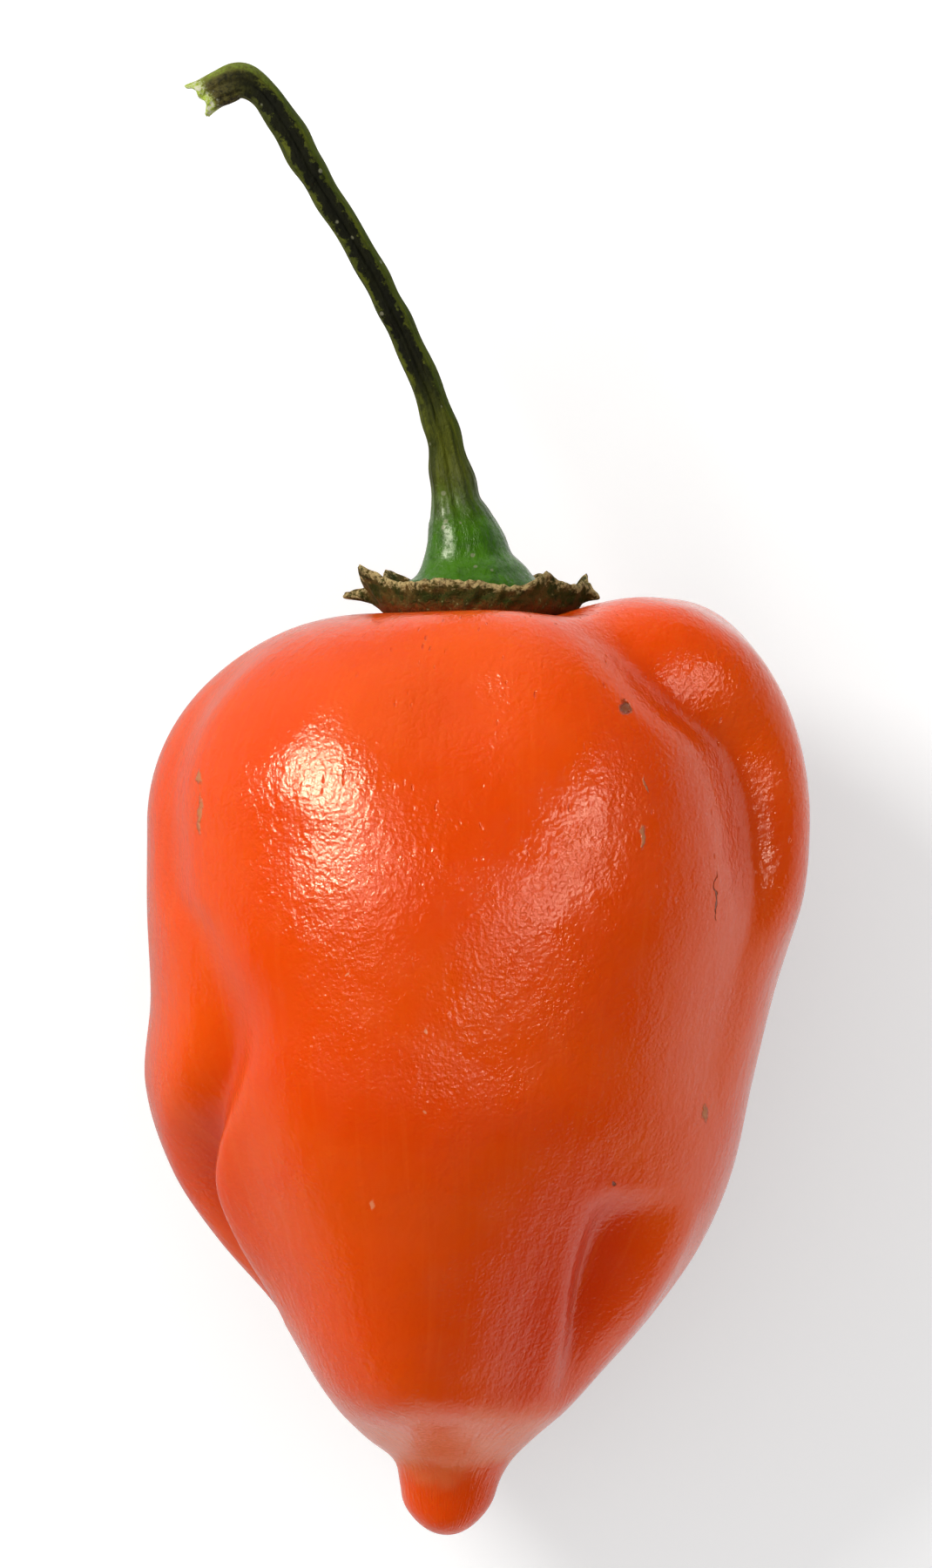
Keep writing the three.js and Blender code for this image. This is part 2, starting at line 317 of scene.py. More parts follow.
def turn_between(angle, other):
    """The turn from one angle to another, from minus half a turn to half a turn."""
    return np.arctan2(np.sin(angle - other), np.cos(angle - other))


WAVES_OF_A_KIND = 3


def ripple(u, v, waves, seed):
    """A smooth, repeatable unevenness from -1 to 1 or so: the mean of sine waves whose directions and
    phases come from the seed. u is an angle, so its wave numbers are whole; v is a length. waves gives
    the most waves round and the shortest length of each kind."""
    rng = np.random.default_rng(seed)
    total = 0
    for count, length in waves:
        for _ in range(WAVES_OF_A_KIND):
            turns = rng.integers(max(1, count // 2), count + 1) * rng.choice((-1, 1))
            climb = rng.uniform(0.5, 1) * math.tau / length
            total = total + np.sin(turns * u + climb * v + rng.uniform(0, math.tau))
    return total / (WAVES_OF_A_KIND * len(waves))


def laid_down(points):
    """Turns points of the pod's frame, in millimetres, onto the ground: a roll about the pod's own
    axis, then a pitch that lifts the stem end, then the shift that puts the pod in its CAD box."""
    turned = points @ np.array(lying_turn()).T * MM
    return turned + lying_shift()


def lying_turn():
    """The rotation from the pod's frame to the frame it lies in."""
    return Matrix.Rotation(math.radians(LIE_PITCH), 3, "X") @ Matrix.Rotation(math.radians(LIE_ROLL), 3, "Y")


COARSE_GRID = (72, 90)  # points round, and points up
_shift = []


def lying_shift():
    """The move that lays the pod's surface in the CAD pod's box: middles together in X and Y, and
    lowest points together. It is worked out once, from a coarse pod."""
    if not _shift:
        coarse = pod_surface(*COARSE_GRID)[0].reshape(-1, 3) @ np.array(lying_turn()).T * MM
        low, high = (np.array(corner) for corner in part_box("pod"))
        middle = (low + high - coarse.min(0) - coarse.max(0)) / 2
        _shift.append(np.array([middle[0], middle[1], low[2] - coarse[:, 2].min()]))
    return _shift[0]


def per_point(grid):
    """A grid's values for the points of a closed mesh: one for its first row, one for its last."""
    return np.concatenate([grid[:1, 0], grid[1:-1].reshape(-1, *grid.shape[2:]), grid[-1:, 0]])


def closed_mesh(name, grid, attributes=()):
    """A closed, smooth mesh from a grid of points whose first and last rows are each one point. Rows
    run from the one pole to the other and columns run round, so faces join each point to its next
    column and next row. attributes gives (name, values per grid point) pairs kept on the points."""
    rows, columns = grid.shape[:2]
    inner = rows - 2
    points = per_point(grid)
    column = np.arange(columns)
    after = (column + 1) % columns
    row = np.arange(inner - 1)[:, None] * columns + 1
    quads = [row + column, row + columns + column, row + columns + after, row + after]
    quads = np.stack(quads, -1).reshape(-1, 4)
    last = 1 + (inner - 1) * columns
    low = np.stack([np.zeros(columns, int), 1 + column, 1 + after], -1)
    high = np.stack([np.full(columns, len(points) - 1), last + after, last + column], -1)
    loops = np.concatenate([quads.ravel(), low.ravel(), high.ravel()])
    sizes = np.concatenate([np.full(len(quads), 4), np.full(2 * columns, 3)])
    mesh = bpy.data.meshes.new(name)
    mesh.vertices.add(len(points))
    mesh.vertices.foreach_set("co", points.ravel())
    mesh.loops.add(len(loops))
    mesh.loops.foreach_set("vertex_index", loops)
    mesh.polygons.add(len(sizes))
    mesh.polygons.foreach_set("loop_start", np.concatenate([[0], np.cumsum(sizes)[:-1]]))
    mesh.polygons.foreach_set("use_smooth", np.ones(len(sizes), bool))
    for label, values in attributes:
        kind, field = ("FLOAT_VECTOR", "vector") if values.ndim == 3 else ("FLOAT", "value")
        mesh.attributes.new(label, kind, "POINT").data.foreach_set(field, per_point(values).ravel())
    mesh.update(calc_edges=True)
    if mesh.validate():
        raise RuntimeError(f"{name}: the surface had faulty faces")
    return mesh


def add_piece(name, mesh, material, node):
    """Puts a mesh into the scene as a piece that stands for a CAD node."""
    mesh.materials.append(material)
    piece = bpy.data.objects.new(name, mesh)
    bpy.context.scene.collection.objects.link(piece)
    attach(piece, "root")
    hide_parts(node)
    return piece


# ---------------------------------------------------------------- surfaces


def crease_push(angle, height, radius):
    """The sum over the creases of push times e to the minus square of the distance round the skin
    from the crease's line, over its half width on that side."""
    push = 0
    for rows in CREASES.values():
        middle, depth, lower_width, higher_width = look_up(rows, height)
        off = turn_between(angle, np.radians(middle)) * np.maximum(radius, 1)
        off = off / np.where(off < 0, lower_width, higher_width)
        push = push + depth * np.exp(-off * off)
    return push


ROW_SHARES = (1 / 16, 9 / 16, 4 / 16)  # of the tip, the sides and the shoulder; the hollow has the rest


def pod_surface(columns, rows):
    """The pod's skin on a grid of angle round the pod and way up it. The way is a rounded tip (a
    quarter circle's share of the table's radius), sides straight from the table, a shoulder that rolls
    over to the crest as a quarter ellipse, and a hollow that eases down to the seat. The creases push
    the skin in where it stands and down where it lies flat. Returns the points, the crease push and
    the pattern coordinates, which wrap the skin round a cylinder with its length as the third."""
    angle = np.linspace(0, math.tau, columns, endpoint=False)[None, :]
    tip_rows, side_rows, shoulder_rows = (int(rows * share) for share in ROW_SHARES)
    hollow_rows = rows - tip_rows - side_rows - shoulder_rows
    flat = np.zeros((1, columns))

    quarter = np.linspace(0, 1, tip_rows, endpoint=False)[:, None] * math.pi / 2
    tip_height = TIP_ROUND * (1 - np.cos(quarter)) + flat
    tip_radius = around(angle, *look_up(SIDES, tip_height)) * np.sin(quarter)

    side_height = np.linspace(TIP_ROUND, SHOULDER_START, side_rows, endpoint=False)[:, None] + flat
    side_radius = around(angle, *look_up(SIDES, side_height))

    roll = np.linspace(0, 1, shoulder_rows, endpoint=False)[:, None] * math.pi / 2
    start = around(angle, *look_up(SIDES, SHOULDER_START + flat))
    crest = around(angle, *CREST_RADIUS)
    crest_height = around(angle, *CREST_HEIGHT)
    shoulder_radius = crest + (start - crest) * np.cos(roll)
    shoulder_height = SHOULDER_START + (crest_height - SHOULDER_START) * np.sin(roll)

    inward = np.linspace(0, 1, hollow_rows)[:, None]
    hollow_radius = crest * (1 - inward)
    rise = np.clip((hollow_radius - SEAT_RADIUS) / (crest - SEAT_RADIUS), 0, 1)
    rise = rise * rise * (3 - 2 * rise)
    hollow_height = SEAT_HEIGHT + (crest_height - SEAT_HEIGHT) * rise

    radius = np.concatenate([tip_radius, side_radius, shoulder_radius, hollow_radius])
    height = np.concatenate([tip_height, side_height, shoulder_height, hollow_height])
    slope = np.concatenate([0 * tip_radius, 0 * side_radius, np.sin(roll) + flat, 0 * rise + 1])
    hold = np.concatenate([0 * tip_radius + 1, 0 * side_radius + 1, 0 * shoulder_radius + 1, rise])

    push = crease_push(angle, height, radius) * hold
    stand = np.sqrt(np.maximum(0, 1 - slope * slope))
    skin_radius = np.maximum(0, radius + push * stand)
    spine_x, spine_z = look_up(SPINE, height)
    across = spine_x + skin_radius * np.cos(angle)
    forward = spine_z + skin_radius * np.sin(angle)
    points = np.stack([across, height + push * slope, forward], -1)
    step = np.linalg.norm(np.diff(points, axis=0, prepend=points[:1]), axis=-1)
    length = np.cumsum(step.mean(1))[:, None] + flat
    wrap = [WRAP_RADIUS * np.cos(angle) + 0 * length, WRAP_RADIUS * np.sin(angle) + 0 * length, length]
    return points, push, np.stack(wrap, -1)


# Slow waves of the calyx's rim: depth, waves round, phase.
REACH_WAVE = (0.15, 7, 0)
RISE_WAVE = (0.12, 5, 1)
# Unevenness of its wall and of its edge: most waves round and shortest length of each kind.
CRINKLE_WAVES = [(14, 5.0), (31, 3.0), (58, 2.0)]
EDGE_WAVES = [(23, 4.0), (47, 4.0), (80, 4.0)]
EDGE_DEPTH = 0.16
RIM_THINNING = 0.45  # share of the wall's thickness lost at the rim


def slow_wave(angle, depth, count, phase):
    """A slow wave round the calyx: depth times the sine of count turns plus the phase."""
    return depth * np.sin(count * angle + phase)


def calyx_surface(columns, rows):
    """The calyx on a grid of angle round it and way along its section, from the middle of its
    underside out over the rim and back in. The rim's reach and rise are the sum over the teeth of
    each tooth's own, times e to the minus square of the turn from it over its half width, plus slow
    waves; crinkles grow with height. Returns the points and how near each is to the rim."""
    settings = bpy.context.scene.chilli_calyx
    radius, flare, wall = (value / MM for value in (settings.radius, settings.flare, settings.wall))
    angle = np.linspace(0, math.tau, columns, endpoint=False)[None, :]
    out, up, tooth, inner = (part[:, None] for part in through(CALYX_SECTION, rows).T)
    reach = slow_wave(angle, *REACH_WAVE)
    rise = slow_wave(angle, *RISE_WAVE)
    for middle, tooth_reach, tooth_rise, width in TEETH:
        share = np.exp(-((turn_between(angle, math.radians(middle)) / math.radians(width)) ** 2))
        reach = reach + tooth_reach * share
        rise = rise + tooth_rise * share
    crinkle = ripple(angle, 4 * up, CRINKLE_WAVES, 3) * settings.crinkle / MM
    r = radius * out + reach * tooth + crinkle * np.clip(up * 2, 0, 1)
    edge = ripple(angle, 0 * up, EDGE_WAVES, 8)
    thickness = wall * (1 - RIM_THINNING * np.clip(up, 0, 1))
    y = CALYX_FLOOR + (flare + EDGE_DEPTH * edge) * up + rise * tooth + inner * thickness
    points = np.stack([CALYX_SHIFT + r * np.cos(angle), y + 0 * angle, r * np.sin(angle)], -1)
    return points, np.clip(up, 0, 1) + 0 * angle


UPRIGHT_HEIGHT = 7  # millimetres over which the sections turn from level to square with the curve
# Ridges along the stem: share of the ridge depth, ridges round, phase, and how much they twist.
RIDGES = [(1, 5, 0.4, 0), (0.6, 9, 2, 0), (0.5, 17, 0, 3)]
STALK_FROM, STALK_FULL = 0.06, 0.18  # shares of the way where the cone ends and the stalk is full
GROOVE = (0.2, 84, 0.42)  # share of the radius, angle in degrees, half width in radians
UNEVEN_WAVES = [(3, 5.0), (7, 3.0)]
UNEVEN_DEPTH, KNOT_DEPTH = 0.05, 0.06  # shares of the radius
UNEVEN_AT_FOOT, RIDGES_AT_FOOT = 0.3, 0.35  # of what the full stalk has
LIP_FROM = 0.965  # share of the way where the broken lips start
LIP_REACH, LIP_NOTCH, LIP_FRAY = 0.2, 0.3, 0.12  # out at the sides, back between them, and ragged
LIP_FLARE, LIP_PINCH = 0.08, 0.16  # shares of the radius, at the sides and between them
# The hollow in the broken end: share of the section's size, and way past it.
MOUTH = [(0.86, 0.02), (0.68, -0.35), (0.4, -0.8), (0, -0.95)]
MOUTH_WAY = (0.1, 0.4, 0.8, 1.0)
FOOT_INSET = 0.9


def normalized(vectors):
    """Each vector over its own length."""
    return vectors / np.linalg.norm(vectors, axis=-1, keepdims=True)


def stem_surface(columns, rows):
    """The stem on a grid of angle round it and way along it: sections carried along its curve, level
    at its foot and soon square to it. A section's radius is the table's, times one less a groove down
    the front plus unevenness and knots, plus ridges (cosines of whole multiples of the angle). It is
    closed flat at its foot; at its broken end two lips run out past a hollow. Returns the points, and
    the cosine and sine of the angle with the way along."""
    settings = bpy.context.scene.chilli_stem
    curve = through(STEM, rows)
    centre, radius = curve[:, :3], curve[:, 3]
    along = normalized(np.gradient(centre, axis=0))
    upright = np.clip(1 - (centre[:, 1:2] - centre[0, 1]) / UPRIGHT_HEIGHT, 0, 1)
    along = normalized(along * (1 - upright) + np.array([0, 1, 0]) * upright)
    side = normalized(np.cross(along, (0, 0, 1)))
    front = np.cross(side, along)
    length = np.concatenate([[0], np.cumsum(np.linalg.norm(np.diff(centre, axis=0), axis=-1))])[:, None]
    angle = np.linspace(0, math.tau, columns, endpoint=False)[None, :]
    way = length / length[-1]
    stalk = np.clip((way - STALK_FROM) / (STALK_FULL - STALK_FROM), 0, 1)
    ridges = 0
    for share, count, phase, twist in RIDGES:
        ridges = ridges + share * np.cos(count * angle + phase + twist * way)
    ridges = ridges * settings.ridge_depth / MM
    depth, middle, half_width = GROOVE
    groove = depth * stalk * np.exp(-((turn_between(angle, math.radians(middle)) / half_width) ** 2))
    uneven = UNEVEN_DEPTH * ripple(angle, length, UNEVEN_WAVES, 5)
    uneven = uneven * (UNEVEN_AT_FOOT + (1 - UNEVEN_AT_FOOT) * stalk)
    knots = KNOT_DEPTH * stalk * np.sin(length * 1.9 + 0.6 * np.sin(length * 0.7) + np.cos(angle))
    ridges = ridges * (RIDGES_AT_FOOT + (1 - RIDGES_AT_FOOT) * stalk)
    r = radius[:, None] * (1 - groove + uneven + knots) + ridges
    lip = np.clip((way - LIP_FROM) / (1 - LIP_FROM), 0, 1) ** 1.5
    upper = np.abs(np.sin(angle))
    shift = LIP_REACH * np.cos(angle) ** 2 - LIP_NOTCH * upper + LIP_FRAY * np.sin(5 * angle + 1)
    shift = lip * shift
    r = r * (1 + lip * (LIP_FLARE - LIP_PINCH * upper))
    ring = (
        centre[:, None]
        + (r * np.cos(angle))[..., None] * side[:, None]
        + (r * np.sin(angle))[..., None] * front[:, None]
        + shift[..., None] * along[:, None]
    )
    foot = [ring[:1] * 0 + centre[0], centre[0] + (ring[:1] - centre[0]) * FOOT_INSET]
    end = centre[-1]
    mouth = [end + (ring[-1:] - end) * share + along[-1] * depth for share, depth in MOUTH]
    points = np.concatenate([*foot, ring, *mouth])
    points[: len(foot), :, 1] = ring[0, :, 1].min()
    way_along = np.pad(length + 0 * angle, ((len(foot), len(mouth)), (0, 0)), mode="edge")
    way_along[-len(mouth) :] += np.array(MOUTH_WAY)[:, None]
    turned = np.stack([np.cos(angle) + 0 * way_along, np.sin(angle) + 0 * way_along, way_along], -1)
    return points, turned


# ---------------------------------------------------------------- node helpers


class Nodes:
    """Short calls that add nodes to a tree and join them."""

    def __init__(self, tree):
        self.tree = tree
        tree.nodes.clear()

    def add(self, kind, **settings):
        node = self.tree.nodes.new(kind)
        for name, value in settings.items():
            setattr(node, name, value)
        return node

    def feed(self, socket, value):
        if isinstance(value, bpy.types.NodeSocket):
            self.tree.links.new(value, socket)
        elif value is not None:
            socket.default_value = value

    def feed_all(self, node, **values):
        """Feeds a node's inputs by their names, in lower case with underscores."""
        for name, value in values.items():
            self.feed(node.inputs[name.replace("_", " ").capitalize()], value)
        return node

    def math(self, operation, a, b):
        node = self.add("ShaderNodeMath", operation=operation)
        for socket, value in zip(node.inputs, (a, b)):
            self.feed(socket, value)
        return node.outputs[0]

    def plus(self, a, b):
        return self.math("ADD", a, b)

    def minus(self, a, b):
        return self.math("SUBTRACT", a, b)

    def times(self, a, b):
        return self.math("MULTIPLY", a, b)

    def vector(self, operation, a, b=None, scale=None):
        node = self.add("ShaderNodeVectorMath", operation=operation)
        self.feed(node.inputs[0], a)
        self.feed(node.inputs[1], b)
        self.feed(node.inputs[3], scale)
        return node.outputs[1 if operation in ("LENGTH", "DISTANCE", "DOT_PRODUCT") else 0]

    def span(self, value, low, high, to_low=0.0, to_high=1.0):
        node = self.add("ShaderNodeMapRange", interpolation_type="SMOOTHSTEP")
        for socket, given in zip(node.inputs, (value, low, high, to_low, to_high)):
            self.feed(socket, given)
        return node.outputs[0]

    def blend(self, share, a, b):
        """Colour a going to colour b as the share goes from 0 to 1. A plain colour has three parts."""
        node = self.add("ShaderNodeMix", data_type="RGBA")
        self.feed(node.inputs["Factor"], share)
        for socket, color in ((node.inputs[6], a), (node.inputs[7], b)):
            self.feed(socket, color if isinstance(color, bpy.types.NodeSocket) else opaque(color))
        return node.outputs[2]

    def noise(self, vector, scale, detail=2.0, roughness=0.5, distortion=0.0):
        node = self.add("ShaderNodeTexNoise")
        self.feed_all(node, vector=vector, scale=scale, detail=detail, roughness=roughness)
        self.feed(node.inputs["Distortion"], distortion)
        return node.outputs["Fac"]

    def cells(self, vector, scale, feature="F1"):
        node = self.add("ShaderNodeTexVoronoi", feature=feature)
        return self.feed_all(node, vector=vector, scale=scale)

    def drift(self, vector, scale):
        """A slow three-way wander from -0.5 to 0.5, to bend another pattern's coordinates."""
        node = self.feed_all(self.add("ShaderNodeTexNoise"), vector=vector, scale=scale)
        return self.vector("SUBTRACT", node.outputs["Color"], (0.5, 0.5, 0.5))

    def bent(self, vector, place, scale, distance):
        """A vector that wanders with the place, by the distance and in swirls of the scale."""
        return self.vector("ADD", vector, self.vector("SCALE", self.drift(place, scale), scale=distance))

    def stretched(self, vector, scale):
        node = self.feed_all(self.add("ShaderNodeMapping"), vector=vector, scale=scale)
        return node.outputs[0]

    def read(self, name, output="Fac"):
        return self.add("ShaderNodeAttribute", attribute_name=name).outputs[output]

    def axis(self, vector, index):
        """One part of a vector: 0, 1 or 2 for X, Y or Z."""
        node = self.add("ShaderNodeSeparateXYZ")
        self.feed(node.inputs[0], vector)
        return node.outputs[index]

    def some(self, cells, share):
        """1 in the given share of the cells and 0 in the others."""
        node = self.add("ShaderNodeSeparateColor")
        self.feed(node.inputs[0], cells.outputs["Color"])
        return self.math("GREATER_THAN", node.outputs[0], 1 - share)

    def in_mm(self):
        """Object coordinates in millimetres."""
        place = self.add("ShaderNodeTexCoord").outputs["Object"]
        return self.vector("SCALE", place, scale=1 / MM)

    def group(self, tree, **values):
        return self.feed_all(self.add("ShaderNodeGroup", node_tree=tree), **values).outputs[0]

    def bump(self, height, distance, normal=None):
        node = self.feed_all(self.add("ShaderNodeBump"), height=height, distance=distance, normal=normal)
        return node.outputs[0]


def opaque(color):
    """A colour's three parts with full alpha after them."""
    return (*color[:3], 1)


def new_group(name, inputs, output, output_kind="NodeSocketFloat"):
    """An empty node group with named sockets, as a Nodes helper, its inputs and its output socket."""
    tree = bpy.data.node_groups.new(name, "ShaderNodeTree")
    for label, kind, default in inputs:
        socket = tree.interface.new_socket(label, in_out="INPUT", socket_type=kind)
        socket.default_value = default
    tree.interface.new_socket(output, in_out="OUTPUT", socket_type=output_kind)
    nodes = Nodes(tree)
    return tree, nodes, nodes.add("NodeGroupInput").outputs, nodes.add("NodeGroupOutput").inputs[0]


VECTOR = "NodeSocketVector"
FLOAT = "NodeSocketFloat"
COLOR = "NodeSocketColor"

PORES_PER_MM = 4.0
CELL_SHARE, GRAIN_SHARE = 0.7, 0.6  # of the pores' height


def pore_group():
    """Fine pores: the height of small soft cells, broken by finer grain, from 0 to 1."""
    inputs = [("Vector", VECTOR, (0, 0, 0)), ("Cells per mm", FLOAT, 5.0)]
    tree, nodes, given, out = new_group("fine_pores", inputs, "Height")
    cell = nodes.cells(given["Vector"], given["Cells per mm"], "SMOOTH_F1").outputs["Distance"]
    grain = nodes.noise(given["Vector"], nodes.times(given["Cells per mm"], 1.7), 2.0, 0.6)
    nodes.feed(out, nodes.plus(nodes.times(cell, CELL_SHARE), nodes.times(grain, GRAIN_SHARE)))
    return tree


def mark_group():
    """One small mark: 1 at its centre and 0 past its half size, with a ragged edge."""
    inputs = [
        ("Vector", VECTOR, (0, 0, 0)),
        ("Centre", VECTOR, (0, 0, 0)),
        ("Half size", VECTOR, (1, 1, 1)),
        ("Ragged", FLOAT, 0.3),
    ]
    tree, nodes, given, out = new_group("small_mark", inputs, "Mask")
    away = nodes.vector("SUBTRACT", given["Vector"], given["Centre"])
    away = nodes.vector("DIVIDE", away, given["Half size"])
    uneven = nodes.times(nodes.minus(nodes.noise(given["Vector"], 5.0, 3.0, 0.7), 0.5), given["Ragged"])
    nodes.feed(out, nodes.span(nodes.plus(nodes.vector("LENGTH", away), uneven), 1.0, 0.45))
    return tree


def mottle_group():
    """Patchy colour: one colour drifting to another in soft uneven clouds."""
    inputs = [
        ("Vector", VECTOR, (0, 0, 0)),
        ("Clouds per mm", FLOAT, 0.1),
        ("Cover", FLOAT, 0.5),
        ("First", COLOR, (1, 1, 1, 1)),
        ("Second", COLOR, (0, 0, 0, 1)),
    ]
    tree, nodes, given, out = new_group("mottled_colour", inputs, "Colour", COLOR)
    cloud = nodes.noise(given["Vector"], given["Clouds per mm"], 4.0, 0.55, 0.4)
    edge = nodes.minus(0.75, nodes.times(given["Cover"], 0.5))
    share = nodes.span(cloud, nodes.minus(edge, 0.15), nodes.plus(edge, 0.15))
    nodes.feed(out, nodes.blend(share, given["First"], given["Second"]))
    return tree


def shared_group(name, maker):
    """The named node group, made the first time it is asked for."""
    return bpy.data.node_groups.get(name) or maker()


def pored(nodes, place):
    """The height of fine pores."""
    return nodes.group(shared_group("fine_pores", pore_group), vector=place, cells_per_mm=PORES_PER_MM)


def mottled(nodes, place, clouds_per_mm, first, second, cover=0.5):
    """The first colour drifting to the second in soft clouds."""
    tree = shared_group("mottled_colour", mottle_group)
    colors = {"first": opaque(first), "second": opaque(second)}
    return nodes.group(tree, vector=place, clouds_per_mm=clouds_per_mm, cover=cover, **colors)


def new_material(name, **shader_values):
    """A material with one Principled shader whose uniform numbers are set on its own sockets."""
    material = bpy.data.materials.new(name)
    material.use_nodes = True
    nodes = Nodes(material.node_tree)
    shader = nodes.add("ShaderNodeBsdfPrincipled")
    for label, value in shader_values.items():
        shader.inputs[label.replace("_", " ")].default_value = value
    nodes.feed(nodes.add("ShaderNodeOutputMaterial").inputs["Surface"], shader.outputs[0])
    return material, nodes, shader


# ---------------------------------------------------------------- materials

# Small marks on the pod's skin: height, angle, half width, half length, and kind.
POD_MARKS = [
    (47.65, 58, 0.42, 0.6, "pit"),
    (40.2, 57, 0.16, 0.8, "cork"),
    (43.3, 56, 0.1, 0.5, "cork"),
    (41.5, 148, 0.16, 1.3, "cork"),
    (43.6, 150, 0.12, 0.7, "cork"),
    (24.5, 29, 0.28, 0.75, "cork"),
    (19.4, 112, 0.16, 0.42, "pale"),
    (29.1, 100, 0.16, 0.16, "pale"),
    (24.6, 100, 0.13, 0.13, "pale"),
    (32.5, 114, 0.12, 0.12, "pale"),
    (20.6, 52, 0.12, 0.12, "pit"),
    (36.8, 38.5, 0.07, 1.5, "pit"),
    (34.2, 118, 0.1, 0.1, "pale"),
]
# Each kind's cover and colour.
MARK_COLORS = {
    "cork": (0.75, (0.45, 0.2, 0.07)),
    "pale": (0.6, (0.9, 0.42, 0.2)),
    "pit": (0.8, (0.12, 0.05, 0.015)),
}
MARK_REACH = 0.6  # least half size of a mark from front to back
BOUNCE = (0.8, (0.4, 0.35, 0.33))  # share and colour by which the skin's light on the floor is greyed

# Depths of the pod's unevenness, in millimetres.
WAVE_DEPTH, DIMPLE_DEPTH, SLIT_DEPTH, PIT_DEPTH = 0.06, 0.035, 0.1, 0.35


def pod_skin():
    """Taut waxy skin: orange-red flesh glowing through, painted shade as deeper red in the creases,
    painted reflection as a paler band just above the nub, fine pores, small marks, and short
    slit-like pits that run with the pod on its shoulders."""
    settings = bpy.context.scene.chilli_pod
    material, nodes, shader = new_material(
        "pod_skin",
        Subsurface_Weight=0.35,
        Subsurface_Radius=(1.0, 0.22, 0.06),
        Subsurface_Scale=1.6 * MM,
        IOR=1.47,
        Specular_Tint=(1, 0.93, 0.78, 1),
    )
    place = nodes.in_mm()
    wrap = nodes.read("wrap", "Vector")
    skin = mottled(nodes, place, 0.07, settings.skin_color, settings.blush_color)
    # Painted shade: the skin is drawn deeper red where the creases push in, standing in for the shade in
    # them.
    skin = nodes.blend(nodes.span(nodes.read("crease"), -0.4, -2.6, 0, 0.7), skin, settings.crease_shade_color)
    streaks = nodes.noise(nodes.stretched(wrap, (2.2, 2.2, 0.09)), 1.0, 3.0, 0.6)
    skin = nodes.blend(nodes.span(streaks, 0.5, 0.75, 0, 0.16), skin, settings.vein_color)

    mark = shared_group("small_mark", mark_group)
    wander = nodes.bent(place, place, 0.9, 0.9)
    masks = dict.fromkeys(MARK_COLORS, 0.0)
    for height, angle, half_width, half_length, kind in POD_MARKS:
        half = (half_width, half_length, max(half_width, MARK_REACH))
        one = nodes.group(mark, vector=wander, centre=pod_point(height, angle), half_size=half, ragged=0.9)
        masks[kind] = nodes.math("MAXIMUM", masks[kind], one)
    for kind, (cover, color) in MARK_COLORS.items():
        skin = nodes.blend(nodes.times(masks[kind], cover), skin, color)
    # Painted reflection: the skin is drawn paler in an uneven band just above the nub, for a pale surround
    # mirrored there.
    uneven = nodes.times(nodes.noise(place, 0.35), 6.0)
    along = nodes.plus(nodes.axis(wrap, 2), nodes.minus(uneven, 3.0))
    neck_reflection = nodes.times(nodes.span(along, 4.4, 6.4), nodes.span(along, 13.0, 7.5))
    skin = nodes.blend(nodes.times(neck_reflection, 0.4), skin, settings.neck_reflection_color)
    share, grey = BOUNCE
    bounce = nodes.times(nodes.add("ShaderNodeLightPath").outputs["Is Diffuse Ray"], share)
    nodes.feed(shader.inputs["Base Color"], nodes.blend(bounce, skin, grey))

    gloss = nodes.noise(place, 0.45, 3.0, 0.6)
    gloss = nodes.span(gloss, 0.3, 0.7, settings.gloss - 0.04, settings.gloss + 0.06)
    nodes.feed(shader.inputs["Roughness"], nodes.plus(gloss, nodes.times(masks["cork"], 0.35)))

    shoulder = nodes.span(nodes.axis(place, 1), -14.0, 4.0)
    normal = nodes.bump(nodes.noise(nodes.stretched(wrap, (1.3, 1.3, 0.7)), 1.0), WAVE_DEPTH * MM)
    dimples = nodes.times(nodes.noise(place, 1.9, 2.0, 0.55), shoulder)
    normal = nodes.bump(dimples, DIMPLE_DEPTH * MM, normal)
    slits = nodes.cells(nodes.stretched(nodes.bent(wrap, place, 0.5, 0.7), (1.9, 1.9, 0.7)), 1.0)
    slit = nodes.times(nodes.span(slits.outputs["Distance"], 0.2, 0.02), nodes.some(slits, 0.5))
    patch = nodes.span(nodes.noise(place, 0.16, 3.0, 0.6), 0.4, 0.62)
    slit = nodes.times(slit, nodes.times(shoulder, patch))
    normal = nodes.bump(nodes.minus(masks["cork"], slit), SLIT_DEPTH * MM, normal)
    normal = nodes.bump(nodes.times(masks["pit"], -1.0), PIT_DEPTH * MM, normal)
    depth = nodes.span(nodes.noise(place, 0.3), 0.3, 0.7, 0.45, 1.0)
    normal = nodes.bump(nodes.times(pored(nodes, place), depth), settings.pore_depth, normal)
    nodes.feed(shader.inputs["Normal"], normal)
    return material


def pod_point(height, degrees):
    """A point of the laid-down skin, in millimetres, from its height up the side and its angle."""
    angle = np.array(math.radians(degrees))
    height = np.array(float(height))
    radius = around(angle, *look_up(SIDES, height))
    if height > SHOULDER_START:
        crest, crest_height = around(angle, *CREST_RADIUS), around(angle, *CREST_HEIGHT)
        up = (height - SHOULDER_START) / (crest_height - SHOULDER_START)
        radius = crest + (radius - crest) * math.sqrt(max(0.0, 1 - up * up))
    radius = radius + crease_push(angle, height, radius)
    x, z = look_up(SPINE, height)
    point = np.array([x + radius * np.cos(angle), height, z + radius * np.sin(angle)])
    return tuple(float(value) for value in laid_down(point) / MM)


CRACK_COLOR = (0.012, 0.008, 0.003)
FOLD_DEPTH, FLECK_DEPTH = 0.45, 0.09  # of the calyx, in millimetres


